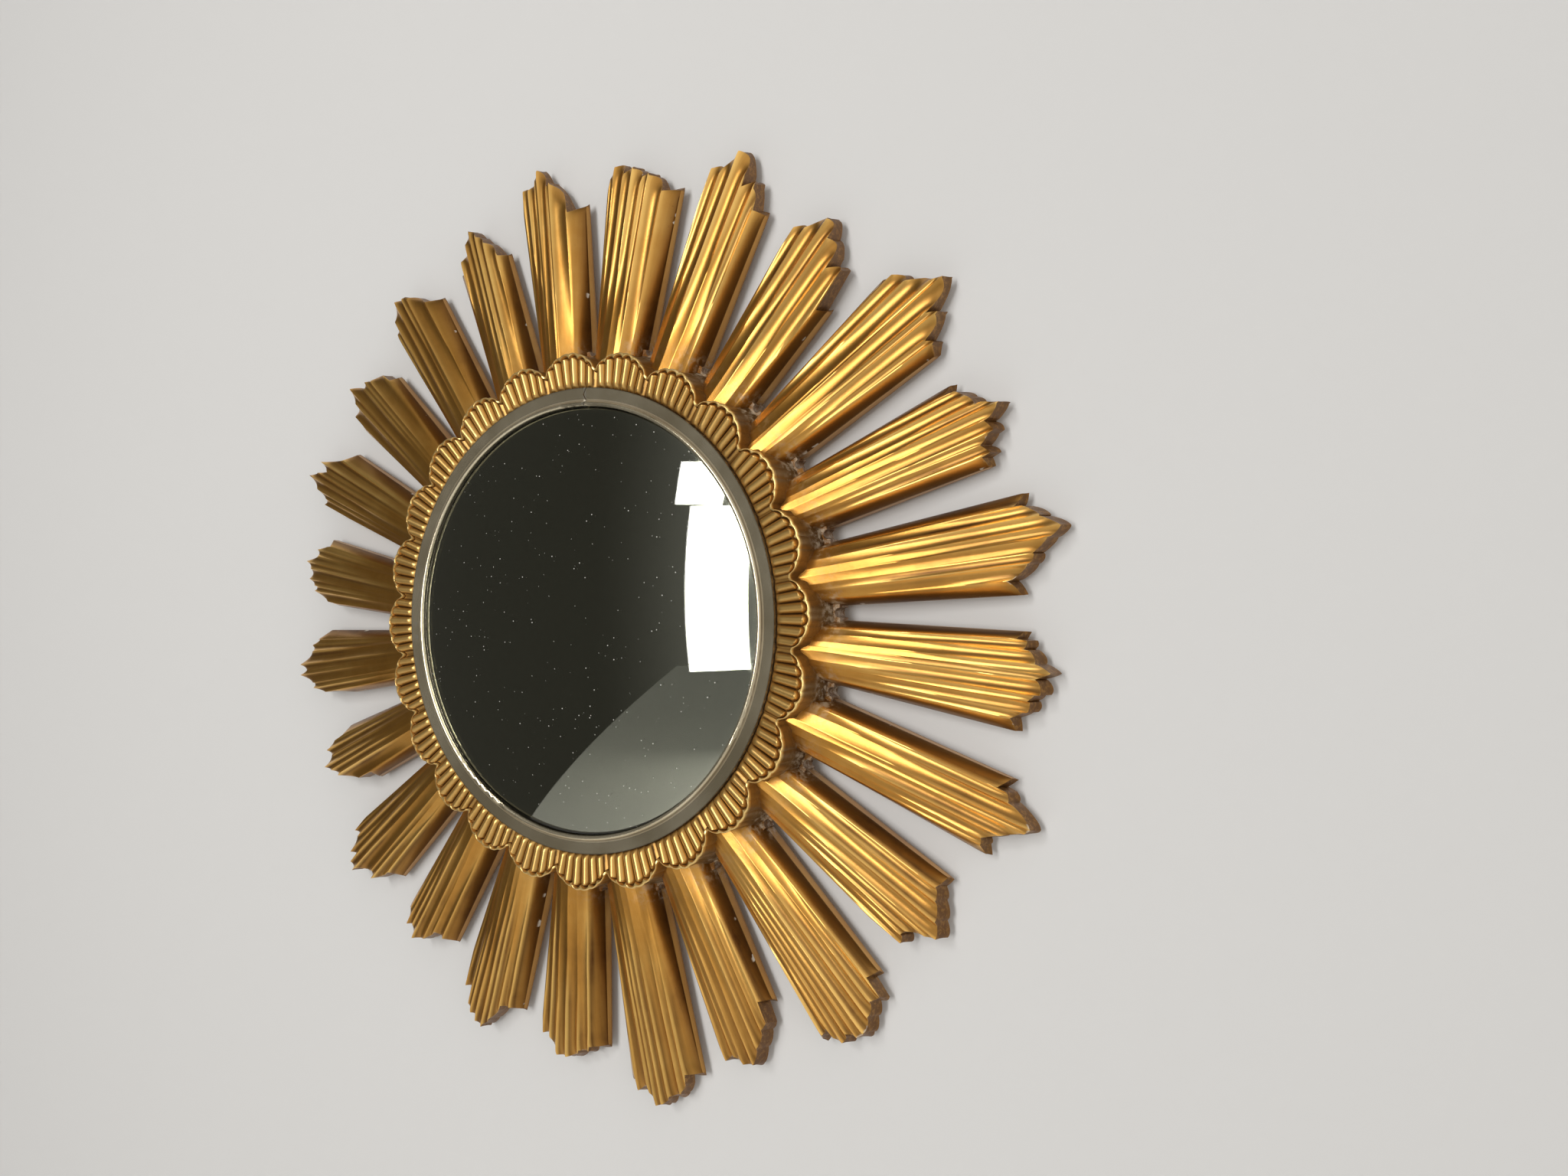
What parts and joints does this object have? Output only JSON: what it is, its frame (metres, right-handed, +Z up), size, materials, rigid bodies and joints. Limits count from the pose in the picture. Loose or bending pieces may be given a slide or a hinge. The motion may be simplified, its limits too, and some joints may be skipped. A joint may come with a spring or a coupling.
{
  "type": "sunburst wall mirror",
  "caption": "Round convex wall mirror in a collar of scalloped shells, with fluted gilt rays of uneven length all round and two swinging hanging rings behind.",
  "frame": {"origin": "centre of the wall plane behind the round glass, where the frame's land rests on the wall", "axes": "+Z up, +Y into the wall, so the mirror faces -Y; +X to the right when facing the mirror"},
  "size_m": [0.6133, 0.0609, 0.6185],
  "materials": {
    "gilded_composite": "aged gold paint with brown patina in the flutes",
    "brass_tone_trim": "dull brass tone, satin, rubbed",
    "glass": "clear, polished",
    "silvering": "reflective coating",
    "packing_felt": "grey felt",
    "backing_board": "brown hardboard, smooth",
    "plated_steel": "zinc plated, dull"
  },
  "bodies": {
    "mirror_body": {"sunburst_frame": "gilded_composite", "trim_ring": "brass_tone_trim", "mirror_glass": "glass", "mirror_silvering": "silvering", "packing_ring": "packing_felt", "backing_board": "backing_board", "button_screws": "plated_steel", "hanger_strap_left": "plated_steel", "hanger_strap_right": "plated_steel", "hanger_screws": "plated_steel"},
    "button_1": {"turn_button_1": "plated_steel"},
    "button_2": {"turn_button_2": "plated_steel"},
    "button_3": {"turn_button_3": "plated_steel"},
    "button_4": {"turn_button_4": "plated_steel"},
    "button_5": {"turn_button_5": "plated_steel"},
    "button_6": {"turn_button_6": "plated_steel"},
    "ring_left": {"hanger_ring_left": "plated_steel"},
    "ring_right": {"hanger_ring_right": "plated_steel"}
  },
  "joints": [
    {"name": "button_1_pivot", "type": "hinge", "parent": "mirror_body", "child": "button_1", "pos_m": [0.07773, -0.0253, 0.13462], "axis": [0, 1, 0], "range_deg": [-90, 90]},
    {"name": "button_2_pivot", "type": "hinge", "parent": "mirror_body", "child": "button_2", "pos_m": [0.15545, -0.0253, 0], "axis": [0, 1, 0], "range_deg": [-90, 90]},
    {"name": "button_3_pivot", "type": "hinge", "parent": "mirror_body", "child": "button_3", "pos_m": [0.07773, -0.0253, -0.13462], "axis": [0, 1, 0], "range_deg": [-90, 90]},
    {"name": "button_4_pivot", "type": "hinge", "parent": "mirror_body", "child": "button_4", "pos_m": [-0.07773, -0.0253, -0.13462], "axis": [0, 1, 0], "range_deg": [-90, 90]},
    {"name": "button_5_pivot", "type": "hinge", "parent": "mirror_body", "child": "button_5", "pos_m": [-0.15545, -0.0253, 0], "axis": [0, 1, 0], "range_deg": [-90, 90]},
    {"name": "button_6_pivot", "type": "hinge", "parent": "mirror_body", "child": "button_6", "pos_m": [-0.07773, -0.0253, 0.13462], "axis": [0, 1, 0], "range_deg": [-90, 90]},
    {"name": "hanger_ring_left_swing", "type": "hinge", "parent": "mirror_body", "child": "ring_left", "pos_m": [-0.07826, -0.00315, 0.18893], "axis": [-1, 0, 0], "range_deg": [0, 175]},
    {"name": "hanger_ring_right_swing", "type": "hinge", "parent": "mirror_body", "child": "ring_right", "pos_m": [0.07826, -0.00315, 0.18893], "axis": [-1, 0, 0], "range_deg": [0, 175]}
  ]
}
